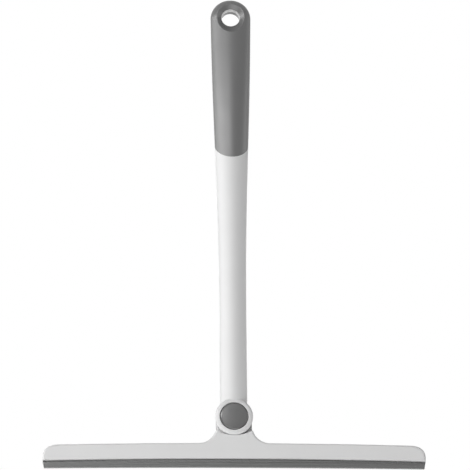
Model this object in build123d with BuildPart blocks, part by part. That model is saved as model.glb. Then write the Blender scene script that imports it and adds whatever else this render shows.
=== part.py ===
from build123d import *
import os
from math import radians, sqrt, tan

# Window squeegee: a soft-gripped handle, a head that swivels on a push-button brake,
# and a rubber blade clamped in the head.
# Frame: origin on the axis of the hanging hole, +Z up the handle, +X along the blade,
# and the button faces -Y.
# All sizes are in millimetres.

# Overall
blade_length = 300.0
hole_to_pivot = 341.0

# Handle sections from the hanging hole down: drop below the hole, width across X, depth across Y
handle_end_width = 32.4
handle_end_depth = 16.0
palm_drop = 57.0
palm_width = 30.3
palm_depth = 20.4
grip_foot_drop = 114.0
grip_foot_width = 26.8
grip_foot_depth = 21.6
taper_drop = 171.0
taper_width = 23.3
taper_depth = 20.0
waist_drop = 228.0
waist_width = 21.5
waist_depth = 19.1
shank_drop = 285.0
shank_width = 21.5
shank_depth = 19.2
shaft_foot_width = 21.6
shaft_foot_depth = 19.6

# Soft grip
grip_wall = 2.0
tongue_centre_drop = 110.0
tongue_margin = 0.2
hang_hole_radius = 7.5
dish_half_angle = 52.0
dish_land = 0.6
dish_rim = 0.8

# Hollow shaft and the hanging eye that plugs it
shaft_wall = 2.4
shaft_top_drop = 30.0
cavity_floor_rise = 30.0
collar_height = 10.0
spigot_length = 25.0
spigot_clearance = 0.1
hang_plate_thickness = 5.2
hang_plate_radius = 13.0
hang_plate_edge = 1.0

# Swivel eye at the foot of the shaft
swivel_eye_radius = 14.9
swivel_eye_foot_radius = 14.1
swivel_eye_reach = 10.0
swivel_eye_crown = 1.4
swivel_eye_land = 0.7
button_recess_depth = 5.4
button_recess_edge = 0.4
web_thickness = 3.6
shoulder_clearance = 0.5

# Push button and its three hooked legs
button_radius = 10.8
button_gap = 0.45
button_proud = 0.6
button_travel = 2.5
button_stop_gap = 0.3
button_face = 1.8
button_skirt = 1.2
button_edge = 1.3
button_dome = 0.6
leg_count = 3
leg_inner_radius = 5.9
leg_thickness = 1.5
leg_width = 4.0
leg_clearance = 0.15
hook_reach = 0.4
hook_height = 1.0

# Brake: a cone on the button's legs, pushed by a spring into a ring pressed in the head
brake_seat_radius = 11.4
brake_depth = 3.0
brake_front_radius = 8.4
brake_rear_radius = 10.0
brake_gap = 0.1
cone_bore_clearance = 0.4
spring_seat_depth = 1.6
spring_radius = 4.3
spring_wire_radius = 0.4
spring_turns = 4.5
spring_wire_sides = 8
spring_clearance = 0.3
spring_end_gap = 0.02

# Pivot: a post on the head runs in the eye's web and is held by a washer and a screw under the button
post_radius = 3.0
post_clearance = 0.06
pivot_washer_radius = 4.8
pivot_washer_thickness = 0.6
washer_recess_depth = 1.0
washer_side_gap = 0.3
washer_play = 0.1
pivot_screw_radius = 1.25
pivot_screw_length = 8.0
pivot_screw_head_radius = 2.6
pivot_screw_head_height = 1.6
pilot_spare = 0.6
thrust_washer_thickness = 0.5
thrust_washer_inner_radius = 8.8
thrust_washer_outer_radius = 12.4

# Head: a T-shaped rear shell with the swivel hub and a thin front shell, both notched for the eye
bar_top_drop = 21.3
bar_height = 12.8
bar_depth = 12.6
bar_arch = 1.9
bar_corner_length = 13.0
bar_corner_height = 10.2
neck_width = 28.4
neck_fillet = 14.0
notch_radius = 28.5
eye_swing_gap = 0.3
front_shell_depth = 3.65
head_front_edge = 1.8
head_back_edge = 0.8
seam_edge = 0.3
hub_depth = 11.0
hub_bore_radius = 10.6
hub_back_edge = 2.0
hub_root_edge = 0.5
hub_floor = 2.5
shell_wall = 2.0
coring_height = 2.2
coring_end_gap = 4.0

# Rubber blade
bead_radius = 2.0
bead_rise = 3.8
bead_setback = 1.5
blade_thickness = 2.8
lip_thickness = 1.6
lip_drop = 6.6
lip_taper_height = 4.0
lip_arch = 0.85
lip_end_slant = 1.1
rubber_clearance = 0.05

# Shell screws
shell_screw_radius = 1.0
shell_screw_head_radius = 1.9
shell_screw_head_height = 1.4
shell_screw_sink = 2.0
shell_screw_engagement = 2.2
shell_screw_clearance = 0.2
inner_screw_x = 45.0
outer_screw_x = 115.0
neck_screw_x = 11.0
neck_screw_drop = 17.5

# Places along Y, from the front of the eye to the back of the head
eye_front_y = -swivel_eye_reach
web_front_y = eye_front_y + button_recess_depth
eye_rear_y = web_front_y + web_thickness
seat_y = eye_rear_y + thrust_washer_thickness
face_y = eye_front_y + swivel_eye_crown
seam_y = face_y + front_shell_depth
bar_back_y = face_y + bar_depth
brake_rear_y = seat_y + brake_depth
hub_back_y = seat_y + hub_depth
hub_floor_y = hub_back_y - hub_floor
post_front_y = web_front_y + washer_recess_depth - washer_play
washer_front_y = post_front_y - pivot_washer_thickness
button_front_y = eye_front_y - button_proud
button_under_y = button_front_y + button_face
button_rim_y = web_front_y - button_travel - button_stop_gap
cone_front_y = seat_y + brake_gap
spring_seat_y = brake_rear_y - spring_seat_depth
screw_seat_y = bar_back_y - shell_screw_sink
plate_front_y = -hang_plate_thickness / 2

# Places along Z and radii that follow from the sizes above
pivot_z = -hole_to_pivot
tongue_radius = grip_foot_width / 2 + tongue_margin
tongue_bottom_drop = tongue_centre_drop + tongue_radius
core_root_drop = tongue_bottom_drop + collar_height
collar_top_drop = shaft_top_drop - collar_height
cavity_inset = grip_wall + shaft_wall
neck_half = neck_width / 2
eye_swing_drop = swivel_eye_radius + eye_swing_gap
hub_radius = hub_bore_radius + shell_wall
flare_reach = max(0.0, shaft_foot_width / 2 - (bar_top_drop - neck_fillet))
flank_flare = neck_fillet - sqrt(neck_fillet**2 - flare_reach**2)
shoulder_rise = neck_half + flank_flare + shoulder_clearance
leg_outer_radius = leg_inner_radius + leg_thickness
spring_seat_radius = spring_radius + spring_wire_radius + spring_clearance
bead_drop = bar_top_drop + bar_height - bead_rise
groove_top_drop = bead_drop - bead_radius - rubber_clearance

handle_sections = [
    (0.0, handle_end_width, handle_end_depth),
    (palm_drop, palm_width, palm_depth),
    (grip_foot_drop, grip_foot_width, grip_foot_depth),
    (taper_drop, taper_width, taper_depth),
    (waist_drop, waist_width, waist_depth),
    (shank_drop, shank_width, shank_depth),
    (hole_to_pivot, shaft_foot_width, shaft_foot_depth),
]


def front_plane(y):
    """Plane seen from the front: its x is X and its y is height above the swivel axis."""
    return Plane(origin=(0, y, pivot_z), x_dir=(1, 0, 0), z_dir=(0, -1, 0))


def pivot_disc(radius, front_y, back_y, mode=Mode.ADD):
    """Add or cut a disc on the swivel axis between two places along Y."""
    with BuildSketch(front_plane(back_y)) as disc:
        Circle(radius)
    extrude(disc.sketch, amount=back_y - front_y, mode=mode)


def leg_bars(inner_radius, outer_radius, width, front_y, back_y, mode=Mode.ADD):
    """Add or cut the ring of straight bars that the button's legs form round the swivel axis."""
    middle_radius = (inner_radius + outer_radius) / 2
    with BuildSketch(front_plane(back_y)) as bars:
        with PolarLocations(middle_radius, leg_count, start_angle=90):
            Rectangle(outer_radius - inner_radius, width)
    extrude(bars.sketch, amount=back_y - front_y, mode=mode)


def pivot_revolve(points, mode=Mode.ADD):
    """Add or cut a ring on the swivel axis from its half section, given as (radius, y) points."""
    with BuildSketch(Plane(origin=(0, 0, pivot_z))) as section:
        with BuildLine():
            Polyline(*points, close=True)
        make_face()
    revolve(section.sketch, axis=Axis((0, 0, pivot_z), (0, 1, 0)), mode=mode)


def swivel_eye():
    """Add the eye's disc: a flat land round the button, a crowned rim and a drafted wall."""
    land_radius = button_radius + button_gap + swivel_eye_land
    rim_y = eye_front_y + swivel_eye_crown
    with BuildSketch(Plane(origin=(0, 0, pivot_z))) as section:
        with BuildLine() as outline:
            TangentArc((land_radius, eye_front_y), (swivel_eye_radius, rim_y), tangent=(1, 0))
            Polyline(
                (swivel_eye_radius, rim_y),
                (swivel_eye_foot_radius, eye_rear_y),
                (0, eye_rear_y),
                (0, eye_front_y),
                (land_radius, eye_front_y),
            )
        make_face(outline.edges())
    revolve(section.sketch, axis=Axis((0, 0, pivot_z), (0, 1, 0)))


def handle_body(inset, ruled=False):
    """Loft the handle from the hanging hole to the swivel axis, drawn in evenly by inset."""
    sections = []
    for drop, width, depth in handle_sections:
        with BuildSketch(Plane.XY.offset(-drop)) as section:
            Ellipse(width / 2 - inset, depth / 2 - inset)
        sections.append(section.sketch)
    loft(sections, ruled=ruled)


def keep_between(top_drop, bottom_drop):
    """Keep the slice of the part between two drops below the hanging hole."""
    split(bisect_by=Plane.XY.offset(-top_drop), keep=Keep.BOTTOM)
    split(bisect_by=Plane.XY.offset(-bottom_drop), keep=Keep.TOP)


def grip_zone(mode):
    """Add, cut or intersect the front view of the soft grip: straight sides over a round tongue."""
    with BuildSketch(Plane.XZ) as zone:
        with Locations((0, -tongue_centre_drop)):
            Circle(tongue_radius)
            Rectangle(
                2 * handle_end_width,
                tongue_centre_drop + handle_end_width,
                align=(Align.CENTER, Align.MIN),
            )
    extrude(zone.sketch, amount=palm_depth + grip_foot_depth, both=True, mode=mode)


def bar_edge_drop(x):
    """Drop of the bar's arched top edge below the swivel axis."""
    return bar_top_drop + bar_arch * (2 * x / blade_length) ** 2


def channel_middle_drop(x):
    """Drop of the line midway between the bar's top edge and the bead groove."""
    return (bar_edge_drop(x) + groove_top_drop) / 2


def head_outline():
    """Draw the head in front view: an arched bar, a filleted neck and a round swivel end."""
    half = blade_length / 2
    end_top = -bar_top_drop - bar_arch
    end_bottom = end_top - bar_height
    corner_x = half - bar_corner_length
    corner_top = -bar_edge_drop(corner_x)
    corner_slope = 2 * bar_arch * corner_x / half**2
    corner_foot = end_top - bar_corner_height
    with BuildLine() as bar:
        ThreePointArc((-corner_x, corner_top), (0, -bar_top_drop), (corner_x, corner_top))
        Spline((corner_x, corner_top), (half, corner_foot), tangents=[(1, -corner_slope), (0, -1)])
        Line((half, corner_foot), (half, end_bottom))
        ThreePointArc((half, end_bottom), (0, -bar_top_drop - bar_height), (-half, end_bottom))
        Line((-half, end_bottom), (-half, corner_foot))
        Spline((-half, corner_foot), (-corner_x, corner_top), tangents=[(0, 1), (1, corner_slope)])
    make_face(bar.edges())
    Rectangle(neck_width, bar_top_drop + bar_height / 2, align=(Align.CENTER, Align.MAX))
    Circle(neck_half)
    roots = [v for v in vertices() if abs(abs(v.X) - neck_half) < 0.01 and v.Y < -bar_top_drop / 2]
    fillet(roots, neck_fillet)


def cut_swing_notch(front_y, back_y):
    """Cut the head away above an arc, so that the eye and the shaft swing clear of it."""
    with BuildSketch(front_plane(back_y)) as notch:
        with Locations((0, notch_radius - eye_swing_drop)):
            Circle(notch_radius)
    extrude(notch.sketch, amount=back_y - front_y, mode=Mode.SUBTRACT)


def rubber_channel(clearance, mode=Mode.ADD):
    """Add or cut the blade's side section: round bead, parallel web and tapered lip."""
    web_half = blade_thickness / 2 + clearance
    lip_half = lip_thickness / 2 + clearance
    lip_bottom = -bar_top_drop - bar_height - lip_drop - lip_arch
    side_plane = Plane(origin=(0, seam_y, pivot_z), x_dir=(0, 1, 0), z_dir=(1, 0, 0))
    with BuildSketch(side_plane) as section:
        with Locations((0, -bead_drop)):
            Circle(bead_radius + clearance)
        with BuildLine():
            Polyline(
                (-web_half, -bead_drop),
                (web_half, -bead_drop),
                (web_half, lip_bottom + lip_taper_height),
                (lip_half, lip_bottom),
                (-lip_half, lip_bottom),
                (-web_half, lip_bottom + lip_taper_height),
                close=True,
            )
        make_face()
    extrude(section.sketch, amount=blade_length, both=True, mode=mode)


def shell_screw_places():
    """Places of the shell screws in front view, about the swivel axis."""
    places = [(neck_screw_x, -neck_screw_drop)]
    places += [(x, -channel_middle_drop(x)) for x in (inner_screw_x, outer_screw_x)]
    return places + [(-x, z) for x, z in places]


def screw_discs(radius, front_y, back_y, mode=Mode.ADD):
    """Add or cut a disc on every shell screw between two places along Y."""
    with BuildSketch(front_plane(back_y)) as discs:
        with Locations(*shell_screw_places()):
            Circle(radius)
    extrude(discs.sketch, amount=back_y - front_y, mode=mode)


def coring_slots(front_y, back_y):
    """Core the bar out between its screws, from the seam inwards."""
    middle_x = (inner_screw_x + outer_screw_x) / 2
    middle_z = -channel_middle_drop(middle_x)
    centre_length = 2 * (inner_screw_x - coring_end_gap)
    side_length = outer_screw_x - inner_screw_x - 2 * coring_end_gap
    with BuildSketch(front_plane(back_y)) as slots:
        with Locations((0, -channel_middle_drop(0))):
            SlotOverall(centre_length, coring_height)
        with Locations((middle_x, middle_z), (-middle_x, middle_z)):
            SlotOverall(side_length, coring_height)
    extrude(slots.sketch, amount=back_y - front_y, mode=Mode.SUBTRACT)


# Forms shared by the handle's pieces, drawn in from its outside
with BuildPart() as shaft_core:
    handle_body(grip_wall, ruled=True)
    keep_between(shaft_top_drop, core_root_drop)

with BuildPart() as shaft_cavity:
    handle_body(cavity_inset, ruled=True)
    keep_between(shaft_top_drop, hole_to_pivot - cavity_floor_rise)

with BuildPart() as collar_core:
    handle_body(grip_wall, ruled=True)
    keep_between(collar_top_drop, shaft_top_drop)

with BuildPart() as spigot_core:
    handle_body(cavity_inset + spigot_clearance, ruled=True)
    keep_between(shaft_top_drop, shaft_top_drop + spigot_length)

# White hollow shaft: bare below the grip, drawn in under it, ending in the swivel eye
with BuildPart() as handle_shaft:
    swivel_eye()
    handle_body(0)
    grip_zone(Mode.SUBTRACT)
    add(shaft_core.part)
    add(shaft_cavity.part, mode=Mode.SUBTRACT)
    with BuildSketch(front_plane(eye_rear_y)):
        Rectangle(2 * swivel_eye_radius, shoulder_rise, align=(Align.CENTER, Align.MIN))
    extrude(amount=-shaft_foot_depth, mode=Mode.SUBTRACT)
    pivot_disc(button_radius + button_gap, eye_front_y, web_front_y, Mode.SUBTRACT)
    recess_rim = edges().filter_by(GeomType.CIRCLE).filter_by_position(Axis.Y, eye_front_y, eye_front_y)
    fillet(recess_rim.sort_by(SortBy.RADIUS)[0], button_recess_edge)
    pivot_disc(
        pivot_washer_radius + washer_side_gap,
        web_front_y,
        web_front_y + washer_recess_depth,
        Mode.SUBTRACT,
    )
    pivot_disc(post_radius + post_clearance, web_front_y, eye_rear_y, Mode.SUBTRACT)
    leg_bars(
        leg_inner_radius - leg_clearance,
        leg_outer_radius + leg_clearance,
        leg_width + 2 * leg_clearance,
        web_front_y,
        eye_rear_y,
        Mode.SUBTRACT,
    )

# White hanging eye: a plate round the hole, a collar on the shaft's open end and a spigot in it
with BuildPart() as hanging_eye:
    with BuildSketch(Plane.XZ.offset(plate_front_y)):
        Circle(hang_plate_radius)
        Rectangle(2 * hang_plate_radius, collar_top_drop, align=(Align.CENTER, Align.MAX))
    extrude(amount=hang_plate_thickness)
    plate_rims = faces().filter_by(Axis.Y).edges().sort_by(Axis.Z)
    fillet(plate_rims[2:], hang_plate_edge)
    add(collar_core.part)
    add(spigot_core.part)
    with BuildSketch(Plane.XZ):
        Circle(hang_hole_radius)
    extrude(amount=hang_plate_thickness, both=True, mode=Mode.SUBTRACT)

# Soft grip moulded over the shaft's top and the hanging eye, dished in front of the hole
with BuildPart() as soft_grip:
    handle_body(0)
    with BuildSketch(Plane.XY):
        Ellipse(handle_end_width / 2, handle_end_depth / 2)
        split(bisect_by=Plane.YZ, keep=Keep.TOP)
    revolve(axis=Axis((0, 0, 0), (0, -1, 0)), revolution_arc=180)
    grip_zone(Mode.INTERSECT)
    add(shaft_core.part, mode=Mode.SUBTRACT)
    add(hanging_eye.part, mode=Mode.SUBTRACT)
    with BuildSketch(Plane.XZ):
        Circle(hang_hole_radius)
    extrude(amount=handle_end_depth, both=True, mode=Mode.SUBTRACT)
    dish_front_y = plate_front_y - dish_land
    dish_depth = handle_end_depth
    dish_flare = dish_depth * tan(radians(dish_half_angle))
    with BuildSketch(Plane.XY):
        with BuildLine():
            Polyline(
                (0, dish_front_y),
                (hang_hole_radius, dish_front_y),
                (hang_hole_radius + dish_flare, dish_front_y - dish_depth),
                (0, dish_front_y - dish_depth),
                close=True,
            )
        make_face()
    revolve(axis=Axis.Y, mode=Mode.SUBTRACT)
    dish = faces().filter_by(GeomType.CONE)
    dish_edges = dish.edges().filter_by(GeomType.LINE, reverse=True)
    fillet(dish_edges.filter_by(GeomType.CIRCLE, reverse=True), dish_rim)

# Soft push button: a skirted cap on three hooked legs
with BuildPart() as push_button:
    pivot_disc(button_radius, button_front_y, button_rim_y)
    dome_radius = (button_radius**2 + button_dome**2) / (2 * button_dome)
    with Locations((0, button_front_y + dome_radius, pivot_z)):
        Sphere(dome_radius, mode=Mode.INTERSECT)
    fillet(edges().group_by(Axis.Y)[0], button_edge)
    pivot_disc(button_radius - button_skirt, button_under_y, button_rim_y, Mode.SUBTRACT)
    leg_bars(leg_inner_radius, leg_outer_radius, leg_width, button_under_y, brake_rear_y + hook_height)
    leg_bars(
        leg_inner_radius,
        leg_outer_radius + hook_reach,
        leg_width,
        brake_rear_y,
        brake_rear_y + hook_height,
    )

# Brake cone: slotted for the legs, with a seat for the spring behind
with BuildPart() as brake_cone:
    slope = (brake_rear_radius - brake_front_radius) / brake_depth
    cone_bore_radius = post_radius + cone_bore_clearance
    pivot_revolve(
        [
            (cone_bore_radius, cone_front_y),
            (brake_front_radius + slope * (cone_front_y - seat_y) - brake_gap, cone_front_y),
            (brake_rear_radius - brake_gap, brake_rear_y),
            (spring_seat_radius, brake_rear_y),
            (spring_seat_radius, spring_seat_y),
            (cone_bore_radius, spring_seat_y),
        ]
    )
    leg_bars(
        leg_inner_radius - leg_clearance,
        leg_outer_radius + leg_clearance,
        leg_width + 2 * leg_clearance,
        seat_y,
        brake_rear_y,
        Mode.SUBTRACT,
    )

# Steel coil spring between the cone and the floor of the hub
with BuildPart() as brake_spring:
    coil_front_y = spring_seat_y + spring_wire_radius + spring_end_gap
    coil_length = hub_floor_y - spring_wire_radius - spring_end_gap - coil_front_y
    with BuildLine() as coil:
        Helix(
            pitch=coil_length / spring_turns,
            height=coil_length,
            radius=spring_radius,
            center=(0, coil_front_y, pivot_z),
            direction=(0, 1, 0),
        )
    with BuildSketch(Plane(origin=coil.line @ 0, z_dir=coil.line % 0)):
        RegularPolygon(spring_wire_radius, spring_wire_sides)
    sweep(path=coil.line, is_frenet=True)

# Brake ring pressed against a shoulder in the mouth of the hub
with BuildPart() as brake_ring:
    pivot_revolve(
        [
            (brake_front_radius, seat_y),
            (brake_seat_radius, seat_y),
            (brake_seat_radius, brake_rear_y),
            (brake_rear_radius, brake_rear_y),
        ]
    )

# Slippery washer between the eye and the head
with BuildPart() as thrust_washer:
    pivot_disc(thrust_washer_outer_radius, eye_rear_y, seat_y)
    pivot_disc(thrust_washer_inner_radius, eye_rear_y, seat_y, Mode.SUBTRACT)

# Steel washer and screw that hold the post in the eye, under the button
with BuildPart() as pivot_washer:
    pivot_disc(pivot_washer_radius, washer_front_y, post_front_y)
    pivot_disc(pivot_screw_radius, washer_front_y, post_front_y, Mode.SUBTRACT)

with BuildPart() as pivot_screw:
    pivot_disc(pivot_screw_head_radius, washer_front_y - pivot_screw_head_height, washer_front_y)
    pivot_disc(pivot_screw_radius, washer_front_y, washer_front_y + pivot_screw_length)

# White front shell of the head: the bar's thin face, notched above for the eye to swing in
with BuildPart() as head_front_shell:
    with BuildSketch(front_plane(seam_y)):
        head_outline()
    extrude(amount=front_shell_depth)
    face_rim = faces().sort_by(Axis.Y)[0].edges().sort_by(SortBy.LENGTH)
    fillet(face_rim[:-1], head_front_edge)
    front_seam = faces().sort_by(Axis.Y)[-1].edges().sort_by(SortBy.LENGTH)
    chamfer(front_seam[:-1], seam_edge)
    cut_swing_notch(face_y, seam_y)
    rubber_channel(rubber_clearance, Mode.SUBTRACT)
    coring_slots(face_y + shell_wall, seam_y)
    pilot_depth = shell_screw_engagement + shell_screw_clearance
    screw_discs(shell_screw_radius, seam_y - pilot_depth, seam_y, Mode.SUBTRACT)

# White rear shell: the bar's body, the seat and hub of the swivel with its pivot post
with BuildPart() as head_rear_shell:
    with BuildSketch(front_plane(bar_back_y)):
        head_outline()
    extrude(amount=bar_back_y - seam_y)
    fillet(faces().sort_by(Axis.Y)[-1].edges(), head_back_edge)
    rear_seam = faces().sort_by(Axis.Y)[0].edges().sort_by(SortBy.LENGTH)
    chamfer(rear_seam[:-1], seam_edge)
    cut_swing_notch(seam_y, seat_y)
    pivot_disc(hub_radius, bar_back_y, hub_back_y)
    fillet(faces().sort_by(Axis.Y)[-1].edges(), hub_back_edge)
    hub_roots = edges().filter_by(GeomType.CIRCLE).filter_by_position(Axis.Y, bar_back_y, bar_back_y)
    fillet(hub_roots.sort_by(SortBy.RADIUS)[0], hub_root_edge)
    pivot_disc(brake_seat_radius, seat_y, brake_rear_y, Mode.SUBTRACT)
    pivot_disc(hub_bore_radius, brake_rear_y, hub_floor_y, Mode.SUBTRACT)
    rubber_channel(rubber_clearance, Mode.SUBTRACT)
    coring_slots(seam_y, bar_back_y - shell_wall)
    screw_discs(shell_screw_radius + shell_screw_clearance, seam_y, bar_back_y, Mode.SUBTRACT)
    screw_discs(
        shell_screw_head_radius + shell_screw_clearance, screw_seat_y, bar_back_y, Mode.SUBTRACT
    )
    pivot_disc(post_radius, post_front_y, hub_floor_y)
    pilot_end_y = washer_front_y + pivot_screw_length + pilot_spare
    pivot_disc(pivot_screw_radius, post_front_y, pilot_end_y, Mode.SUBTRACT)

# Rubber blade: its bead lies in the groove, its lip is arched and slants in at the ends
with BuildPart() as rubber_blade:
    rubber_channel(0)
    half = blade_length / 2
    bar_bottom = -bar_top_drop - bar_height
    web_top = -bead_drop + bead_radius
    with BuildSketch(front_plane(seam_y)):
        with BuildLine():
            Polyline(
                (half - lip_end_slant, bar_bottom - lip_drop - lip_arch),
                (half, bar_bottom - bar_arch),
                (half, -bead_drop - bead_radius),
                (half - bead_setback, -bead_drop - bead_radius),
                (half - bead_setback, web_top),
                (bead_setback - half, web_top),
                (bead_setback - half, -bead_drop - bead_radius),
                (-half, -bead_drop - bead_radius),
                (-half, bar_bottom - bar_arch),
                (lip_end_slant - half, bar_bottom - lip_drop - lip_arch),
            )
            ThreePointArc(
                (lip_end_slant - half, bar_bottom - lip_drop - lip_arch),
                (0, bar_bottom - lip_drop),
                (half - lip_end_slant, bar_bottom - lip_drop - lip_arch),
            )
        make_face()
    extrude(amount=blade_thickness + bead_radius, both=True, mode=Mode.INTERSECT)

# Screws that clamp the two shells on the bead
with BuildPart() as shell_screws:
    screw_discs(shell_screw_head_radius, screw_seat_y, screw_seat_y + shell_screw_head_height)
    screw_discs(shell_screw_radius, seam_y - shell_screw_engagement, screw_seat_y)

pieces = {
    "handle_shaft": handle_shaft,
    "hanging_eye": hanging_eye,
    "soft_grip": soft_grip,
    "push_button": push_button,
    "brake_cone": brake_cone,
    "brake_spring": brake_spring,
    "brake_ring": brake_ring,
    "thrust_washer": thrust_washer,
    "pivot_washer": pivot_washer,
    "pivot_screw": pivot_screw,
    "head_front_shell": head_front_shell,
    "head_rear_shell": head_rear_shell,
    "rubber_blade": rubber_blade,
    "shell_screws": shell_screws,
}

os.makedirs("parts", exist_ok=True)
for name, piece in pieces.items():
    piece.part.label = name
    export_step(piece.part, f"parts/{name}.step")
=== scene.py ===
"""Window squeegee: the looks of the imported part, laid out as an add-on and run as a script.

A soft grey grip over a white handle, a swivel head held by a push-button brake, and a rubber
wiper blade clamped in the head. Sizes are in millimetres in the working meshes and in metres
in the finished pieces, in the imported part's own frame: X along the blade, Z up the handle,
and the button faces -Y.
"""

from math import asin, cos, pi, radians, sin, tau
from types import SimpleNamespace

import bmesh
import bpy
from mathutils import Matrix, Quaternion, Vector


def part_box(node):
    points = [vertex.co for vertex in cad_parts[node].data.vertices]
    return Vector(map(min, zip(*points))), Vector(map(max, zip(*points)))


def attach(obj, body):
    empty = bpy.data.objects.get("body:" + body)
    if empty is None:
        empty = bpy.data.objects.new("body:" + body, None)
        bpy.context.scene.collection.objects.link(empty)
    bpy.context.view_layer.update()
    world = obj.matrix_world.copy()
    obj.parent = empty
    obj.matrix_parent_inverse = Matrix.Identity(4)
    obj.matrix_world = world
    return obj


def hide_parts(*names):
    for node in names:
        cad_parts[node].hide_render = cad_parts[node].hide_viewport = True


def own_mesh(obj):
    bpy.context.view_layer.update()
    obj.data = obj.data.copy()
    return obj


bl_info = {
    "name": "Window Squeegee",
    "version": (1, 0, 0),
    "blender": (4, 5, 0),
    "location": "3D View > Sidebar > Squeegee",
    "description": "Builds the visible pieces of a window squeegee on its packed frame",
    "category": "Object",
}

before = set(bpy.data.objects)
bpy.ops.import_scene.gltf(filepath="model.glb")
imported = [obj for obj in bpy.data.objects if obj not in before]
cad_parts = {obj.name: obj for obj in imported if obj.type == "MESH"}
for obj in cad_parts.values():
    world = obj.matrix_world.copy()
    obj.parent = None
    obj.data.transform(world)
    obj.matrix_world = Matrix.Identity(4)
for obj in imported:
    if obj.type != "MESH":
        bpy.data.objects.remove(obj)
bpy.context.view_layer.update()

MM = 0.001
# Points of a working mesh that lie closer than this, in millimetres, are one point
WELD = 0.0005
# How close, in millimetres, a point is to a named place to count as on it
NEAR = 0.01
# Angles in degrees past which an edge is drawn sharp
SOFT_CREASE = 35.0
RUBBER_CREASE = 30.0
SCREW_CREASE = 40.0
# Side of the picture in pixels
IMAGE_SIDE = 470


def linear(hex_colour):
    """Turn an sRGB hex colour into linear red, green and blue."""
    channels = [int(hex_colour[i : i + 2], 16) / 255 for i in (0, 2, 4)]
    return [c / 12.92 if c <= 0.04045 else ((c + 0.055) / 1.055) ** 2.4 for c in channels]


def centre_of(node):
    """Middle of a CAD node's box in millimetres."""
    low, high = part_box(node)
    return (low + high) / 2 / MM


PIVOT_Z = centre_of("push_button").z
BUTTON_FRONT_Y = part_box("push_button")[0].y / MM
BLADE_Y = centre_of("rubber_blade").y
BLADE_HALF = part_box("rubber_blade")[1].x / MM
LIP_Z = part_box("rubber_blade")[0].z / MM
BEAD_TOP_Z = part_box("rubber_blade")[1].z / MM
SCREW_TOP_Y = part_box("shell_screws")[1].y / MM
SCREW_TIP_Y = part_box("shell_screws")[0].y / MM
SPRING_FRONT_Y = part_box("brake_spring")[0].y / MM
SPRING_BACK_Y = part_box("brake_spring")[1].y / MM


def length(label, description, size_mm):
    """A length property, written in millimetres and kept in metres."""
    return bpy.props.FloatProperty(
        name=label,
        description=description,
        default=size_mm * MM,
        min=0.0,
        precision=5,
        subtype="DISTANCE",
        unit="LENGTH",
    )


def in_millimetres(group):
    """The values of a property group, with its lengths in millimetres."""
    values = SimpleNamespace()
    for name in type(group).__annotations__:
        value = getattr(group, name)
        if group.bl_rna.properties[name].unit == "LENGTH":
            value /= MM
        setattr(values, name, value)
    return values


def colour(label, description, hex_colour):
    """A colour property whose default is an sRGB hex colour."""
    return bpy.props.FloatVectorProperty(
        name=label,
        description=description,
        subtype="COLOR",
        size=3,
        min=0.0,
        max=1.0,
        default=linear(hex_colour),
    )


class SqueegeeColours(bpy.types.PropertyGroup):
    """Colours of the squeegee's finishes."""

    shell: colour("Shell", "Moulded polypropylene of the handle and the head", "E6E6E6")
    grip: colour("Grip", "Soft elastomer moulded over the handle", "585858")
    button: colour("Button", "Harder elastomer of the push button", "565656")
    rubber: colour("Rubber", "Rubber of the wiper blade", "4E4E4E")
    acetal: colour("Acetal", "Natural acetal of the brake cone and the washer", "E4E1D6")
    lining: colour("Lining", "Friction lining of the brake ring", "4A4039")
    steel: colour("Steel", "Bright zinc on the screws and the spring", "C3C6C9")


class SqueegeeBlade(bpy.types.PropertyGroup):
    """Sizes of the rubber wiper blade."""

    bead_radius: length("Bead Radius", "Radius of the bead held in the groove", 2.0)
    web: length("Web", "Thickness of the blade below the bead", 2.8)
    lip: length("Lip", "Thickness of the wiping lip at its edge", 2.3)
    taper: length("Taper", "Height over which the web thins to the lip", 4.0)
    arch: length("Arch", "How much higher the lip's edge is in the middle", 0.85)
    slant: length("Slant", "How far the lip's ends lean inwards", 1.1)
    setback: length("Setback", "How far the bead stops short of the ends", 1.5)
    groove: length("Groove", "Depth of the fine groove on each side of the web", 0.25)
    groove_rise: length("Groove Rise", "Height of the groove above the taper", 0.9)
    bare: length("Bare", "Height of the web that shows above the taper", 2.5)


class SqueegeeButton(bpy.types.PropertyGroup):
    """Sizes of the push button and its legs."""

    radius: length("Radius", "Outside radius of the cap", 11.05)
    dome: length("Dome", "Rise of the cap's face in the middle", 0.25)
    edge: length("Edge", "Radius of the cap's rim", 1.4)
    proud: length("Proud", "How far the cap stands out past its solid", 0.24)
    height: length("Height", "Height of the cap from its face to its rim", 3.44)
    face: length("Face", "Thickness of the cap's face", 1.8)
    skirt: length("Skirt", "Thickness of the cap's skirt", 1.2)
    leg_reach: length("Leg Reach", "Distance of a leg's middle from the axis", 6.65)
    leg_thickness: length("Leg Thickness", "Thickness of a leg, out from the axis", 1.5)
    leg_width: length("Leg Width", "Width of a leg, across the axis", 4.0)
    hook: length("Hook", "How far a leg's hook stands out", 0.4)
    hook_height: length("Hook Height", "Height of a leg's hook", 1.0)


class SqueegeeScrews(bpy.types.PropertyGroup):
    """Sizes of the cross-head screws."""

    head_radius: length("Head Radius", "Radius of a shell screw's head", 1.9)
    head_height: length("Head Height", "Height of a shell screw's head", 1.4)
    shank_radius: length("Shank Radius", "Radius of a shell screw's shank", 1.0)
    pivot_head_height: length("Pivot Head Height", "Height of the pivot screw's head", 1.6)
    pivot_shank_radius: length("Pivot Shank Radius", "Radius of the pivot screw's shank", 1.25)
    slot_share: bpy.props.FloatProperty(
        name="Slot Share",
        description="Reach of the cross recess as a share of the head's radius",
        default=0.58,
        min=0.1,
        max=0.8,
        subtype="FACTOR",
    )


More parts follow.
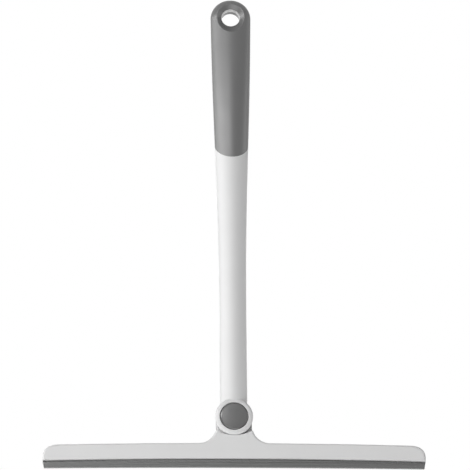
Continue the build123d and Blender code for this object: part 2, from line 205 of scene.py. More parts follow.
class SqueegeeSpring(bpy.types.PropertyGroup):
    """Sizes of the brake's coil spring."""

    wire_radius: length("Wire Radius", "Radius of the wire", 0.4)
    coil_radius: length("Coil Radius", "Radius of the coil at the middle of its wire", 4.3)
    travel: length("Travel", "How far the button shortens the spring", 2.5)
    turns: bpy.props.FloatProperty(
        name="Turns", description="Turns of the coil from end to end", default=4.5, min=1.0
    )


def add_node(tree, kind, settings=None, links=None):
    """Add one node, set its properties and input values, and link its inputs."""
    node = tree.nodes.new(kind)
    for name, value in (settings or {}).items():
        if isinstance(name, str) and name not in node.inputs:
            setattr(node, name, value)
        else:
            node.inputs[name].default_value = value
    for name, output in (links or {}).items():
        tree.links.new(output, node.inputs[name])
    return node


def new_finish(name):
    """Start a material: its node tree and the place where its patterns sit."""
    made = bpy.data.materials.new(name)
    made.use_nodes = True
    tree = made.node_tree
    tree.nodes.clear()
    return made, tree, add_node(tree, "ShaderNodeTexCoord").outputs["Object"]


def per_metre(size_mm):
    """Pattern scale that gives one feature every so many millimetres."""
    return 1.0 / (size_mm * MM)


def shaded(base, share):
    """A colour brought down or up by a share, with its alpha."""
    return (*[channel * share for channel in base], 1.0)


# Between these two values lies most of a noise pattern
NOISE_LOW = 0.3
NOISE_HIGH = 0.7


def moulded_polypropylene(name, base, parting_y=None):
    """White polypropylene from a spark-eroded mould.

    It gives the eye a bright satin white, faintly cloudy from the flow of the melt, with a fine
    matt grain and, on the handle, the line where the halves of the mould met.
    """
    made, tree, place = new_finish(name)
    cloud = add_node(
        tree,
        "ShaderNodeTexNoise",
        {"Scale": per_metre(30.0), "Detail": 3.0, "Roughness": 0.55},
        {"Vector": place},
    )
    tint = add_node(
        tree,
        "ShaderNodeMix",
        {"data_type": "RGBA", 6: shaded(base, 0.975), 7: shaded(base, 1.02)},
        {0: cloud.outputs["Fac"]},
    )
    # The mould's grain is about 0.1 mm; it is drawn at 0.9 mm, the finest that shows here.
    grain = add_node(
        tree,
        "ShaderNodeTexNoise",
        {"Scale": per_metre(0.9), "Detail": 2.0, "Roughness": 0.6},
        {"Vector": place},
    )
    gloss = add_node(
        tree,
        "ShaderNodeMapRange",
        {"From Min": NOISE_LOW, "From Max": NOISE_HIGH, "To Min": 0.36, "To Max": 0.44},
        {"Value": grain.outputs["Fac"]},
    )
    skin = add_node(
        tree,
        "ShaderNodeBump",
        {"Strength": 0.25, "Distance": 0.02 * MM},
        {"Height": grain.outputs["Fac"]},
    )
    if parting_y is not None:
        apart = add_node(tree, "ShaderNodeSeparateXYZ", links={"Vector": place})
        offset = add_node(
            tree,
            "ShaderNodeMath",
            {"operation": "SUBTRACT", 1: parting_y * MM},
            {0: apart.outputs["Y"]},
        )
        near = add_node(
            tree, "ShaderNodeMath", {"operation": "ABSOLUTE"}, {0: offset.outputs["Value"]}
        )
        ridge = add_node(
            tree,
            "ShaderNodeMapRange",
            {"From Min": 0.0, "From Max": 0.3 * MM, "To Min": 1.0, "To Max": 0.0},
            {"Value": near.outputs["Value"]},
        )
        skin = add_node(
            tree,
            "ShaderNodeBump",
            {"Strength": 0.6, "Distance": 0.08 * MM},
            {"Height": ridge.outputs["Result"], "Normal": skin.outputs["Normal"]},
        )
    shader = add_node(
        tree,
        "ShaderNodeBsdfPrincipled",
        {"IOR": 1.49},
        {
            "Base Color": tint.outputs[2],
            "Roughness": gloss.outputs["Result"],
            "Normal": skin.outputs["Normal"],
        },
    )
    add_node(tree, "ShaderNodeOutputMaterial", links={"Surface": shader.outputs["BSDF"]})
    return made


def soft_elastomer(name, base, roughness, shine):
    """Grey thermoplastic elastomer, moulded with a soft-touch face.

    It gives the eye a dull mid grey that lifts to a broad pale sheen towards the light, with a
    fine even grain and slow changes of tone where hands and mould have polished it.
    """
    made, tree, place = new_finish(name)
    cloud = add_node(
        tree,
        "ShaderNodeTexNoise",
        {"Scale": per_metre(18.0), "Detail": 4.0, "Roughness": 0.6},
        {"Vector": place},
    )
    tint = add_node(
        tree,
        "ShaderNodeMix",
        {"data_type": "RGBA", 6: shaded(base, 0.95), 7: shaded(base, 1.05)},
        {0: cloud.outputs["Fac"]},
    )
    # The mould's grain is about 0.15 mm; it is drawn at 0.9 mm, the finest that shows here.
    grain = add_node(
        tree,
        "ShaderNodeTexNoise",
        {"Scale": per_metre(0.9), "Detail": 3.0, "Roughness": 0.65},
        {"Vector": place},
    )
    gloss = add_node(
        tree,
        "ShaderNodeMapRange",
        {
            "From Min": NOISE_LOW,
            "From Max": NOISE_HIGH,
            "To Min": roughness - 0.05,
            "To Max": roughness + 0.05,
        },
        {"Value": cloud.outputs["Fac"]},
    )
    skin = add_node(
        tree,
        "ShaderNodeBump",
        {"Strength": 0.35, "Distance": 0.03 * MM},
        {"Height": grain.outputs["Fac"]},
    )
    shader = add_node(
        tree,
        "ShaderNodeBsdfPrincipled",
        {"IOR": 1.5, "Specular IOR Level": shine},
        {
            "Base Color": tint.outputs[2],
            "Roughness": gloss.outputs["Result"],
            "Normal": skin.outputs["Normal"],
        },
    )
    add_node(tree, "ShaderNodeOutputMaterial", links={"Surface": shader.outputs["BSDF"]})
    return made


# Height above the lip's edge of the painted light that makes the rubber paler towards the lip, in
# millimetres
PAINTED_LIP_LIGHT_HEIGHT = 3.5


def extruded_rubber(base):
    """Grey extruded rubber.

    It gives the eye a satin grey with faint die lines along its length, painted paler towards the
    wiping lip as painted light from below.
    """
    made, tree, place = new_finish("extruded_rubber")
    along = add_node(
        tree,
        "ShaderNodeMapping",
        {"Scale": (per_metre(60.0), per_metre(0.8), per_metre(0.8))},
        {"Vector": place},
    )
    # Die lines are about 0.1 mm apart; they are drawn at 0.8 mm, the finest that shows here.
    lines = add_node(
        tree,
        "ShaderNodeTexNoise",
        {"Scale": 1.0, "Detail": 3.0, "Roughness": 0.6},
        {"Vector": along.outputs["Vector"]},
    )
    height = add_node(tree, "ShaderNodeSeparateXYZ", links={"Vector": place})
    # Painted light: a mask that is 1 at the lip's edge and fades to 0 higher up, standing in for
    # light from below
    painted_lip_light = add_node(
        tree,
        "ShaderNodeMapRange",
        {
            "From Min": LIP_Z * MM,
            "From Max": (LIP_Z + PAINTED_LIP_LIGHT_HEIGHT) * MM,
            "To Min": 1.0,
            "To Max": 0.0,
        },
        {"Value": height.outputs["Z"]},
    )
    lined = add_node(
        tree,
        "ShaderNodeMix",
        {"data_type": "RGBA", 6: shaded(base, 0.9), 7: shaded(base, 1.06)},
        {0: lines.outputs["Fac"]},
    )
    # Painted light: the rubber is blended up to 1.3 times paler towards the lip
    tint = add_node(
        tree,
        "ShaderNodeMix",
        {"data_type": "RGBA", 7: shaded(base, 1.3)},
        {0: painted_lip_light.outputs["Result"], 6: lined.outputs[2]},
    )
    gloss = add_node(
        tree,
        "ShaderNodeMapRange",
        {"From Min": NOISE_LOW, "From Max": NOISE_HIGH, "To Min": 0.22, "To Max": 0.3},
        {"Value": lines.outputs["Fac"]},
    )
    skin = add_node(
        tree,
        "ShaderNodeBump",
        {"Strength": 0.3, "Distance": 0.03 * MM},
        {"Height": lines.outputs["Fac"]},
    )
    shader = add_node(
        tree,
        "ShaderNodeBsdfPrincipled",
        {"IOR": 1.52, "Specular IOR Level": 0.85},
        {
            "Base Color": tint.outputs[2],
            "Roughness": gloss.outputs["Result"],
            "Normal": skin.outputs["Normal"],
        },
    )
    add_node(tree, "ShaderNodeOutputMaterial", links={"Surface": shader.outputs["BSDF"]})
    return made


# A wave texture of scale 1 runs through this many radians in a metre
WAVE_TURN = 20.0


def turned_metal_or_plastic(name, base, metallic, roughness, ring_mm):
    """A small turned or moulded piece round the swivel axis.

    It gives the eye fine rings about the axis and a little unevenness in tone, on zinc-plated
    steel, natural acetal or a pressed friction lining alike.
    """
    made, tree, place = new_finish(name)
    centred = add_node(
        tree,
        "ShaderNodeMapping",
        {"Location": (0.0, 0.0, -PIVOT_Z * MM)},
        {"Vector": place},
    )
    rings = add_node(
        tree,
        "ShaderNodeTexWave",
        {
            "wave_type": "RINGS",
            "rings_direction": "Y",
            "Scale": per_metre(ring_mm) * tau / WAVE_TURN,
            "Distortion": 1.5,
            "Detail": 2.0,
        },
        {"Vector": centred.outputs["Vector"]},
    )
    spots = add_node(
        tree,
        "ShaderNodeTexNoise",
        {"Scale": per_metre(1.2), "Detail": 3.0},
        {"Vector": place},
    )
    tint = add_node(
        tree,
        "ShaderNodeMix",
        {"data_type": "RGBA", 6: shaded(base, 0.9), 7: shaded(base, 1.04)},
        {0: spots.outputs["Fac"]},
    )
    gloss = add_node(
        tree,
        "ShaderNodeMapRange",
        {"To Min": roughness - 0.06, "To Max": roughness + 0.06},
        {"Value": rings.outputs["Fac"]},
    )
    skin = add_node(
        tree,
        "ShaderNodeBump",
        {"Strength": 0.2, "Distance": 0.01 * MM},
        {"Height": rings.outputs["Fac"]},
    )
    shader = add_node(
        tree,
        "ShaderNodeBsdfPrincipled",
        {"Metallic": metallic},
        {
            "Base Color": tint.outputs[2],
            "Roughness": gloss.outputs["Result"],
            "Normal": skin.outputs["Normal"],
        },
    )
    add_node(tree, "ShaderNodeOutputMaterial", links={"Surface": shader.outputs["BSDF"]})
    return made


def dress(finish, *nodes):
    """Give CAD nodes a finish in every material slot."""
    for node in nodes:
        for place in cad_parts[node].material_slots:
            place.material = finish


def make_piece(context, name, shape, finish, body, nodes, crease=SOFT_CREASE):
    """Turn a mesh in millimetres into a piece that rides on a body in place of CAD nodes."""
    bmesh.ops.remove_doubles(shape, verts=shape.verts, dist=WELD)
    bmesh.ops.recalc_face_normals(shape, faces=shape.faces)
    bmesh.ops.scale(shape, vec=(MM, MM, MM), verts=shape.verts)
    for face in shape.faces:
        face.smooth = True
    mesh = bpy.data.meshes.new(name)
    shape.to_mesh(mesh)
    shape.free()
    if not mesh.polygons:
        raise RuntimeError(f"{name} has no faces")
    mesh.set_sharp_from_angle(angle=radians(crease))
    mesh.materials.append(finish)
    piece = bpy.data.objects.new(name, mesh)
    context.scene.collection.objects.link(piece)
    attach(piece, body)
    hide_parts(*nodes)
    return piece


def trail(shape, start, *moves):
    """Draw a chain of edges from a vertex by a list of steps, and give its last vertex."""
    last = start
    for step in moves:
        last = bmesh.ops.extrude_vert_indiv(shape, verts=[last])["verts"][0]
        bmesh.ops.translate(shape, vec=Vector(step), verts=[last])
    return last


def arc(shape, start, centre, axis, angle, steps):
    """Draw an arc of edges from a vertex round a centre, and give its last vertex."""
    swept = bmesh.ops.spin(
        shape, geom=[start], cent=centre, axis=axis, angle=angle, steps=steps, use_merge=False
    )
    return [item for item in swept["geom_last"] if isinstance(item, bmesh.types.BMVert)][0]


def ring_edges(shape, test):
    """Edges whose two ends both pass a test."""
    return [edge for edge in shape.edges if all(test(vert.co) for vert in edge.verts)]


def outward(turn, rise):
    """Direction from the object at a turn from the front and a rise, both in degrees."""
    turn, rise = radians(turn), radians(rise)
    return Vector((sin(turn) * cos(rise), -cos(turn) * cos(rise), sin(rise)))


# The camera looks at a place in millimetres, from angles in degrees and a distance in metres
CAMERA_TARGET = (2.2, 0.0, -186.45)
CAMERA_TURN = -2.29
CAMERA_RISE = -19.92
CAMERA_ROLL = -0.485
CAMERA_DISTANCE = 3.5
FOCAL_PIXELS = 4385.0
SENSOR_WIDTH = 36.0


def place_camera(scene):
    """Camera at the photograph's place: low, a little to the left, with a long lens."""
    back = outward(CAMERA_TURN, CAMERA_RISE)
    view = bpy.data.cameras.new("camera")
    view.sensor_width = SENSOR_WIDTH
    view.lens = FOCAL_PIXELS * SENSOR_WIDTH / IMAGE_SIDE
    view.clip_start = 0.1
    view.clip_end = 100.0
    camera = bpy.data.objects.new("camera", view)
    scene.collection.objects.link(camera)
    camera.rotation_mode = "QUATERNION"
    camera.location = Vector(CAMERA_TARGET) * MM + CAMERA_DISTANCE * back
    roll = Quaternion((0, 0, 1), radians(CAMERA_ROLL))
    camera.rotation_quaternion = back.to_track_quat("Z", "Y") @ roll
    scene.camera = camera


# Soft boxes: name, turn from the front and rise in degrees, distance, width and height in
# metres, power in watts
SOFT_BOXES = (
    ("front_panel", -25.0, 19.0, 2.2, 1.78, 0.68, 18.8),
    ("middle_panel", -67.0, 19.0, 2.2, 1.56, 0.68, 18.6),
    ("left_panel", -103.0, 10.0, 1.6, 0.5, 0.8, 5.4),
    ("key_box", -30.0, -36.0, 1.8, 1.1, 1.1, 8.0),
    ("low_box", 20.0, -68.0, 1.5, 0.8, 0.8, 6.4),
    ("right_box", 85.0, 0.0, 1.6, 0.6, 1.4, 5.0),
    ("rim_box", 120.0, -40.0, 1.6, 0.8, 1.3, 8.0),
    ("back_panel", 180.0, 14.0, 2.2, 1.8, 1.0, 7.0),
    ("back_low_box", 176.0, -50.0, 1.5, 0.8, 0.8, 8.5),
)


# The soft boxes face this height in millimetres, about the middle of the object
LAMP_AIM_Z = -190.0


def place_lamps(scene):
    """Soft boxes: wide panels on the left, a low key, edge lights on the right, two behind."""
    middle = Vector((0.0, 0.0, LAMP_AIM_Z)) * MM
    for name, turn, rise, far, width, height, power in SOFT_BOXES:
        lamp = bpy.data.lights.new(name, "AREA")
        lamp.shape = "RECTANGLE"
        lamp.size = width
        lamp.size_y = height
        lamp.energy = power
        out = outward(turn, rise)
        box = bpy.data.objects.new(name, lamp)
        scene.collection.objects.link(box)
        box.rotation_mode = "QUATERNION"
        box.location = middle + far * out
        box.rotation_quaternion = out.to_track_quat("Z", "Y")


# Strength of the world's even light on the object
FILL_LIGHT = 0.02


def looked_at(tree):
    """A value that is 1 where the camera, a gloss or a clear piece looks, and 0 for other light."""
    path = add_node(tree, "ShaderNodeLightPath")
    glossy = add_node(
        tree,
        "ShaderNodeMath",
        {"operation": "MAXIMUM"},
        {0: path.outputs["Is Camera Ray"], 1: path.outputs["Is Glossy Ray"]},
    )
    seen = add_node(
        tree,
        "ShaderNodeMath",
        {"operation": "MAXIMUM"},
        {0: glossy.outputs["Value"], 1: path.outputs["Is Transmission Ray"]},
    )
    return seen.outputs["Value"]


def white_surround():
    """White where the camera or a gloss looks, and a weak even fill for everything else."""
    world = bpy.data.worlds.new("white_surround")
    world.use_nodes = True
    tree = world.node_tree
    tree.nodes.clear()
    fill = add_node(tree, "ShaderNodeBackground", {"Color": (1, 1, 1, 1), "Strength": FILL_LIGHT})
    white = add_node(tree, "ShaderNodeBackground", {"Color": (1, 1, 1, 1), "Strength": 1.0})
    mixed = add_node(
        tree,
        "ShaderNodeMixShader",
        links={0: looked_at(tree), 1: fill.outputs[0], 2: white.outputs[0]},
    )
    add_node(tree, "ShaderNodeOutputWorld", links={"Surface": mixed.outputs[0]})
    return world


# The floor's half side and height in metres, and the share of it that shines where it is seen
FLOOR_HALF = 20.0
FLOOR_Z = -4.0
FLOOR_GLOW = 0.95


def pale_floor(scene):
    """A plain pale floor, far below the object because the camera looks up at it."""
    shape = bmesh.new()
    bmesh.ops.create_grid(shape, x_segments=1, y_segments=1, size=FLOOR_HALF)
    bmesh.ops.translate(shape, vec=(0.0, 0.0, FLOOR_Z), verts=shape.verts)
    mesh = bpy.data.meshes.new("floor")
    shape.to_mesh(mesh)
    shape.free()
    made, tree, place = new_finish("matt_floor_paint")
    # The floor is only looked at, so it is not sampled as a lamp.
    made.cycles.emission_sampling = "NONE"
    mottle = add_node(tree, "ShaderNodeTexNoise", {"Scale": per_metre(120.0)}, {"Vector": place})
    tint = add_node(
        tree,
        "ShaderNodeMix",
        {"data_type": "RGBA", 6: (*linear("F6F6F6"), 1.0), 7: (*linear("FAFAFA"), 1.0)},
        {0: mottle.outputs["Fac"]},
    )
    paint = add_node(
        tree, "ShaderNodeBsdfPrincipled", {"Roughness": 0.9}, {"Base Color": tint.outputs[2]}
    )
    pale = add_node(tree, "ShaderNodeEmission", {"Strength": 1.0}, {"Color": tint.outputs[2]})
    share = add_node(
        tree, "ShaderNodeMath", {"operation": "MULTIPLY", 1: FLOOR_GLOW}, {0: looked_at(tree)}
    )
    mixed = add_node(
        tree,
        "ShaderNodeMixShader",
        links={0: share.outputs["Value"], 1: paint.outputs["BSDF"], 2: pale.outputs["Emission"]},
    )
    add_node(tree, "ShaderNodeOutputMaterial", links={"Surface": mixed.outputs[0]})
    mesh.materials.append(made)
    floor = bpy.data.objects.new("floor", mesh)
    scene.collection.objects.link(floor)
    return floor


class SQUEEGEE_OT_stage(bpy.types.Operator):
    """Set the camera, the soft studio light, the white surround and the floor"""

    bl_idname = "squeegee.stage"
    bl_label = "Stage"

    def execute(self, context):
        scene = context.scene
        scene.view_settings.view_transform = "Standard"
        place_camera(scene)
        place_lamps(scene)
        scene.world = white_surround()
        pale_floor(scene)
        return {"FINISHED"}


# The halves of the handle's mould met in the middle of its thickness
PARTING_Y = 0.0


class SQUEEGEE_OT_mouldings(bpy.types.Operator):
    """Give the white handle, hanging eye and head shells their moulded finish"""

    bl_idname = "squeegee.mouldings"
    bl_label = "White Mouldings"

    def execute(self, context):
        base = context.scene.squeegee_colours.shell
        handle = moulded_polypropylene("moulded_polypropylene_parted", base, PARTING_Y)
        dress(handle, "handle_shaft", "hanging_eye")
        head = moulded_polypropylene("moulded_polypropylene", base)
        dress(head, "head_front_shell", "head_rear_shell")
        return {"FINISHED"}


class SQUEEGEE_OT_grip(bpy.types.Operator):
    """Give the grip its soft-touch finish"""

    bl_idname = "squeegee.grip"
    bl_label = "Soft Grip"

    def execute(self, context):
        base = context.scene.squeegee_colours.grip
        finish = soft_elastomer("soft_touch_elastomer", base, roughness=0.38, shine=1.0)
        dress(finish, "soft_grip")
        return {"FINISHED"}


# Steps round the button, along its dome's section and round its rim
BUTTON_STEPS = 96
DOME_STEPS = 8
RIM_STEPS = 8
# How deep a leg's root is sunk into the cap, in millimetres
LEG_SINK = 0.3


class SQUEEGEE_OT_button(bpy.types.Operator):
    """Build the domed push button with its skirt and three hooked legs"""

    bl_idname = "squeegee.button"
    bl_label = "Push Button"

    def execute(self, context):
        sizes = in_millimetres(context.scene.squeegee_button)
        shape = bmesh.new()
        front = BUTTON_FRONT_Y - sizes.proud
        dome_radius = (sizes.radius**2 + sizes.dome**2) / (2 * sizes.dome)
        apex = shape.verts.new((0.0, front, 0.0))
        corner = arc(
            shape,
            apex,
            (0.0, front + dome_radius, 0.0),
            (0.0, 0.0, 1.0),
            asin(sizes.radius / dome_radius),
            DOME_STEPS,
        )
        trail(
            shape,
            corner,
            (0.0, sizes.height - sizes.dome, 0.0),
            (-sizes.skirt, 0.0, 0.0),
            (0.0, sizes.face - sizes.height, 0.0),
            (sizes.skirt - sizes.radius, 0.0, 0.0),
        )
        bmesh.ops.spin(
            shape,
            geom=shape.verts[:] + shape.edges[:],
            cent=(0.0, 0.0, 0.0),
            axis=(0.0, 1.0, 0.0),
            angle=tau,
            steps=BUTTON_STEPS,
            use_merge=True,
        )
        bmesh.ops.remove_doubles(shape, verts=shape.verts, dist=WELD)
        rim_y = front + sizes.dome

        def on_rim(place):
            reach = Vector((place.x, place.z)).length
            return abs(reach - sizes.radius) < NEAR and abs(place.y - rim_y) < NEAR

        bmesh.ops.bevel(
            shape,
            geom=ring_edges(shape, on_rim),
            offset=sizes.edge,
            offset_type="OFFSET",
            affect="EDGES",
            segments=RIM_STEPS,
            profile=0.5,
            material=-1,
        )
        self.add_legs(shape, sizes, front + sizes.face)
        bmesh.ops.translate(shape, vec=(0.0, 0.0, PIVOT_Z), verts=shape.verts)
        base = context.scene.squeegee_colours.button
        finish = soft_elastomer("button_elastomer", base, roughness=0.2, shine=0.75)
        make_piece(
            context, "swivel_button", shape, finish, "button", ["push_button"]
        )
        return {"FINISHED"}

    def add_legs(self, shape, sizes, root_y):
        """Three flat legs that reach back through the eye, each with a small hook."""
        foot_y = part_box("push_button")[1].y / MM
        top_y = root_y - LEG_SINK
        hook_reach = sizes.leg_reach + (sizes.leg_thickness + sizes.hook) / 2
        blocks = (
            (
                (0.0, (top_y + foot_y) / 2, sizes.leg_reach),
                (sizes.leg_width, foot_y - top_y, sizes.leg_thickness, 1.0),
            ),
            (
                (0.0, foot_y - sizes.hook_height / 2, hook_reach),
                (sizes.leg_width, sizes.hook_height, sizes.hook, 1.0),
            ),
        )
        for turn in (0.0, 120.0, 240.0):
            swing = Matrix.Rotation(radians(turn), 4, "Y")
            for middle, size in blocks:
                block = Matrix.Translation(middle) @ Matrix.Diagonal(size)
                bmesh.ops.create_cube(shape, size=1.0, matrix=swing @ block)


# Steps round half of the bead, and cuts along the blade
BEAD_STEPS = 10
BLADE_CUTS = 47
# The power with which the ends' lean sets in towards the ends
END_POWER = 24


class SQUEEGEE_OT_blade(bpy.types.Operator):
    """Build the rubber wiper blade: a bead, a web with two fine grooves and a tapered lip"""

    bl_idname = "squeegee.blade"
    bl_label = "Wiper Blade"

    def execute(self, context):
        sizes = in_millimetres(context.scene.squeegee_blade)
        shape = bmesh.new()
        bead_z = BEAD_TOP_Z - sizes.bead_radius
        web_half = sizes.web / 2
        reach = pi - asin(web_half / sizes.bead_radius)
        top = shape.verts.new((0.0, 0.0, BEAD_TOP_Z))
        neck = arc(shape, top, (0.0, 0.0, bead_z), (-1.0, 0.0, 0.0), reach, BEAD_STEPS)
        taper_z = LIP_Z + sizes.taper
        run = neck.co.z - taper_z
        trail(
            shape,
            neck,
            (0.0, 0.0, sizes.groove_rise - run),
            (0.0, -sizes.groove, -sizes.groove),
            (0.0, sizes.groove, -sizes.groove),
            (0.0, 0.0, 2 * sizes.groove - sizes.groove_rise),
            (0.0, sizes.lip / 2 - web_half, -sizes.taper),
            (0.0, -sizes.lip / 2, 0.0),
        )
        bmesh.ops.mirror(
            shape,
            geom=shape.verts[:] + shape.edges[:],
            matrix=Matrix.Identity(4),
            merge_dist=WELD,
            axis="Y",
        )
        bmesh.ops.remove_doubles(shape, verts=shape.verts, dist=WELD)
        section = bmesh.ops.contextual_create(shape, geom=shape.edges[:])["faces"]
        bmesh.ops.translate(shape, vec=(-BLADE_HALF, BLADE_Y, 0.0), verts=shape.verts)
        drawn = bmesh.ops.extrude_face_region(shape, geom=section, use_keep_orig=True)["geom"]
        far_end = [item for item in drawn if isinstance(item, bmesh.types.BMVert)]
        bmesh.ops.translate(shape, vec=(2 * BLADE_HALF, 0.0, 0.0), verts=far_end)
        runs = [edge for edge in shape.edges if edge.calc_length() > BLADE_HALF]
        bmesh.ops.subdivide_edges(shape, edges=runs, cuts=BLADE_CUTS, use_grid_fill=True)
        visible_top = LIP_Z + sizes.taper + sizes.bare
        for vert in shape.verts:
            share = min(1.0, abs(vert.co.x) / BLADE_HALF)
            drop = min(1.0, max(0.0, (visible_top - vert.co.z) / (visible_top - LIP_Z)))
            squeeze = sizes.slant * drop
            if vert.co.z > bead_z - sizes.bead_radius:
                squeeze = sizes.setback
            vert.co.x *= 1.0 - squeeze / BLADE_HALF * share**END_POWER
            vert.co.z += sizes.arch * drop * (1.0 - share**2)
        make_piece(
            context,
            "wiper_blade",
            shape,
            extruded_rubber(context.scene.squeegee_colours.rubber),
            "head",
            ["rubber_blade"],
            RUBBER_CREASE,
        )
        return {"FINISHED"}


SCREW_SIDES = 36
# Half width of a recess arm as a share of its reach, the recess's depth as a share of the head's
# height, and the share of its mouth's size that is left at its floor
ARM_HALF = 0.3
RECESS_DEPTH = 0.7
RECESS_FLOOR = 0.45
# Flat top of the head, and the crown below it, as shares of the head's radius and height
FLAT_RADIUS = 0.74
CROWN_RADIUS = 0.92
CROWN_HEIGHT = 0.9
WALL_HEIGHT = 0.66
# Where the shank's point starts and how blunt it is, as shares of its length and radius
POINT_START = 0.85
POINT_RADIUS = 0.35


def cross_head_screw(head_radius, head_height, shank_radius, shank_length, slot_share):
    """A pan-head screw standing on its seat along +Y, with a tapered cross recess."""
    shape = bmesh.new()
    arm = head_radius * slot_share
    half = arm * ARM_HALF
    flat = head_radius * FLAT_RADIUS
    corner = [(half, arm), (half, half), (arm, half), (arm, -half), (half, -half), (half, -arm)]
    outline = corner + [(-x, -y) for x, y in corner]
    loop = [shape.verts.new((x, y, head_height)) for x, y in outline]
    recess = shape.faces.new(loop)
    sunk = bmesh.ops.extrude_face_region(shape, geom=[recess])["geom"]
    floor = [item for item in sunk if isinstance(item, bmesh.types.BMVert)]
    if recess.is_valid:
        shape.faces.remove(recess)
    bmesh.ops.translate(shape, vec=(0.0, 0.0, -RECESS_DEPTH * head_height), verts=floor)
    bmesh.ops.scale(shape, vec=(RECESS_FLOOR, RECESS_FLOOR, 1.0), verts=floor)
    mouth = [edge for edge in shape.edges if edge.is_boundary]
    circle = bmesh.ops.create_circle(shape, cap_ends=False, segments=SCREW_SIDES, radius=flat)
    ring = circle["verts"]
    bmesh.ops.translate(shape, vec=(0.0, 0.0, head_height), verts=ring)
    rim = [edge for edge in shape.edges if all(vert in ring for vert in edge.verts)]
    bmesh.ops.bridge_loops(shape, edges=mouth + rim)
    profile = (
        (CROWN_RADIUS * head_radius, CROWN_HEIGHT * head_height),
        (head_radius, WALL_HEIGHT * head_height),
        (head_radius, 0.0),
        (shank_radius, 0.0),
        (shank_radius, -POINT_START * shank_length),
        (POINT_RADIUS * shank_radius, -shank_length),
    )
    reach, level = flat, head_height
    for radius, height in profile:
        grown = bmesh.ops.extrude_edge_only(shape, edges=rim)["geom"]
        verts = [item for item in grown if isinstance(item, bmesh.types.BMVert)]
        rim = [item for item in grown if isinstance(item, bmesh.types.BMEdge)]
        bmesh.ops.scale(shape, vec=(radius / reach, radius / reach, 1.0), verts=verts)
        bmesh.ops.translate(shape, vec=(0.0, 0.0, height - level), verts=verts)
        reach, level = radius, height
    bmesh.ops.holes_fill(shape, edges=rim, sides=0)
    stand = Matrix.Rotation(radians(-90.0), 3, "X")
    bmesh.ops.rotate(shape, cent=(0.0, 0.0, 0.0), matrix=stand, verts=shape.verts)
    return shape


# Places of the right-hand shell screws, across and up from the swivel axis in millimetres
RIGHT_SCREWS = ((11.0, -17.5), (45.0, -24.86), (115.0, -25.33))
# Each screw's recess is turned this many degrees past the one before it
SCREW_TURN = 37.0


class SQUEEGEE_OT_screws(bpy.types.Operator):
    """Build the cross-head screws that clamp the shells and hold the pivot"""

    bl_idname = "squeegee.screws"
    bl_label = "Screws"

    def execute(self, context):
        sizes = in_millimetres(context.scene.squeegee_screws)
        base = context.scene.squeegee_colours.steel
        steel = turned_metal_or_plastic(
            "zinc_plated_steel", base, metallic=1.0, roughness=0.3, ring_mm=0.6
        )
        seat = SCREW_TOP_Y - sizes.head_height
        screw = cross_head_screw(
            sizes.head_radius,
            sizes.head_height,
            sizes.shank_radius,
            seat - SCREW_TIP_Y,
            sizes.slot_share,
        )
        single = screw.verts[:] + screw.edges[:] + screw.faces[:]
        turn = 0.0
        for x, z in (*RIGHT_SCREWS, *[(-x, z) for x, z in RIGHT_SCREWS]):
            copied = bmesh.ops.duplicate(screw, geom=single)["geom"]
            verts = [item for item in copied if isinstance(item, bmesh.types.BMVert)]
            swing = Matrix.Rotation(radians(turn), 3, "Y")
            bmesh.ops.rotate(screw, cent=(0.0, 0.0, 0.0), matrix=swing, verts=verts)
            bmesh.ops.translate(screw, vec=(x, seat, PIVOT_Z + z), verts=verts)
            turn += SCREW_TURN
        pattern = [item for item in single if isinstance(item, bmesh.types.BMVert)]
        bmesh.ops.delete(screw, geom=pattern)
        make_piece(
            context,
            "clamp_screws",
            screw,
            steel,
            "head",
            ["shell_screws"],
            SCREW_CREASE,
        )
        low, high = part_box("pivot_screw")
        head_height = sizes.pivot_head_height
        pivot = cross_head_screw(
            (high.x - low.x) / 2 / MM,
            head_height,
            sizes.pivot_shank_radius,
            (high.y - low.y) / MM - head_height,
            sizes.slot_share,
        )
        about = Matrix.Rotation(pi, 3, "X")
        bmesh.ops.rotate(pivot, cent=(0.0, 0.0, 0.0), matrix=about, verts=pivot.verts)
        bmesh.ops.translate(pivot, vec=(0.0, low.y / MM + head_height, PIVOT_Z), verts=pivot.verts)
        make_piece(
            context,
            "pivot_cross_screw",
            pivot,
            steel,
            "head",
            ["pivot_screw"],
            SCREW_CREASE,
        )
        dress(steel, "pivot_washer")
        return {"FINISHED"}


# Sides round the spring's wire, and steps along each turn of its coil
WIRE_SIDES = 12
COIL_STEPS = 40


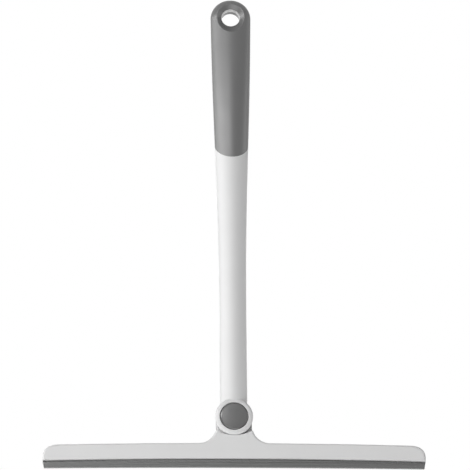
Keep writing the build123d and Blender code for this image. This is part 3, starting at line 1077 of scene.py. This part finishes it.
class SQUEEGEE_OT_brake(bpy.types.Operator):
    """Build the brake's coil spring and give the cone, ring and washer their finishes"""

    bl_idname = "squeegee.brake"
    bl_label = "Brake"

    def execute(self, context):
        colours = context.scene.squeegee_colours
        acetal = turned_metal_or_plastic(
            "natural_acetal", colours.acetal, metallic=0.0, roughness=0.38, ring_mm=0.5
        )
        lining = turned_metal_or_plastic(
            "pressed_friction_lining", colours.lining, metallic=0.0, roughness=0.8, ring_mm=0.7
        )
        dress(acetal, "brake_cone", "thrust_washer")
        dress(lining, "brake_ring")
        steel = turned_metal_or_plastic(
            "spring_steel", colours.steel, metallic=1.0, roughness=0.25, ring_mm=0.3
        )
        shape = bmesh.new()
        sizes = in_millimetres(context.scene.squeegee_spring)
        span = SPRING_BACK_Y - SPRING_FRONT_Y
        climb = span - 2 * sizes.wire_radius
        bmesh.ops.create_circle(
            shape, cap_ends=True, segments=WIRE_SIDES, radius=sizes.wire_radius
        )
        start = (sizes.coil_radius, SPRING_FRONT_Y + sizes.wire_radius, 0.0)
        bmesh.ops.translate(shape, vec=start, verts=shape.verts)
        steps = int(sizes.turns * COIL_STEPS)
        bmesh.ops.spin(
            shape,
            geom=shape.verts[:] + shape.edges[:] + shape.faces[:],
            cent=(0.0, 0.0, 0.0),
            axis=(0.0, 1.0, 0.0),
            dvec=(0.0, climb / steps, 0.0),
            angle=tau * sizes.turns,
            steps=steps,
            use_merge=False,
        )
        bmesh.ops.translate(shape, vec=(0.0, 0.0, PIVOT_Z), verts=shape.verts)
        spring = make_piece(
            context, "coil_spring", shape, steel, "head", ["brake_spring"]
        )
        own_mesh(spring)
        return {"FINISHED"}


class SQUEEGEE_PT_panel(bpy.types.Panel):
    """Lists the squeegee's pieces, sizes and colours"""

    bl_idname = "SQUEEGEE_PT_panel"
    bl_label = "Window Squeegee"
    bl_space_type = "VIEW_3D"
    bl_region_type = "UI"
    bl_category = "Squeegee"

    def draw(self, context):
        for operator in operators:
            self.layout.operator(operator.bl_idname)
        for name, kind in property_groups.items():
            group = getattr(context.scene, name)
            box = self.layout.box()
            for field in kind.__annotations__:
                box.prop(group, field)


operators = (
    SQUEEGEE_OT_stage,
    SQUEEGEE_OT_mouldings,
    SQUEEGEE_OT_grip,
    SQUEEGEE_OT_button,
    SQUEEGEE_OT_blade,
    SQUEEGEE_OT_screws,
    SQUEEGEE_OT_brake,
)
property_groups = {
    "squeegee_colours": SqueegeeColours,
    "squeegee_blade": SqueegeeBlade,
    "squeegee_button": SqueegeeButton,
    "squeegee_screws": SqueegeeScrews,
    "squeegee_spring": SqueegeeSpring,
}


def register():
    """Register the property groups, the operators and the panel."""
    for name, kind in property_groups.items():
        bpy.utils.register_class(kind)
        setattr(bpy.types.Scene, name, bpy.props.PointerProperty(type=kind))
    for kind in (*operators, SQUEEGEE_PT_panel):
        bpy.utils.register_class(kind)


def unregister():
    """Remove what register added."""
    for kind in (SQUEEGEE_PT_panel, *reversed(operators)):
        bpy.utils.unregister_class(kind)
    for name, kind in property_groups.items():
        delattr(bpy.types.Scene, name)
        bpy.utils.unregister_class(kind)


def main():
    """Build the scene in order."""
    register()
    bpy.ops.squeegee.stage()
    bpy.ops.squeegee.mouldings()
    bpy.ops.squeegee.grip()
    bpy.ops.squeegee.button()
    bpy.ops.squeegee.blade()
    bpy.ops.squeegee.screws()
    bpy.ops.squeegee.brake()


if __name__ == "__main__":
    main()
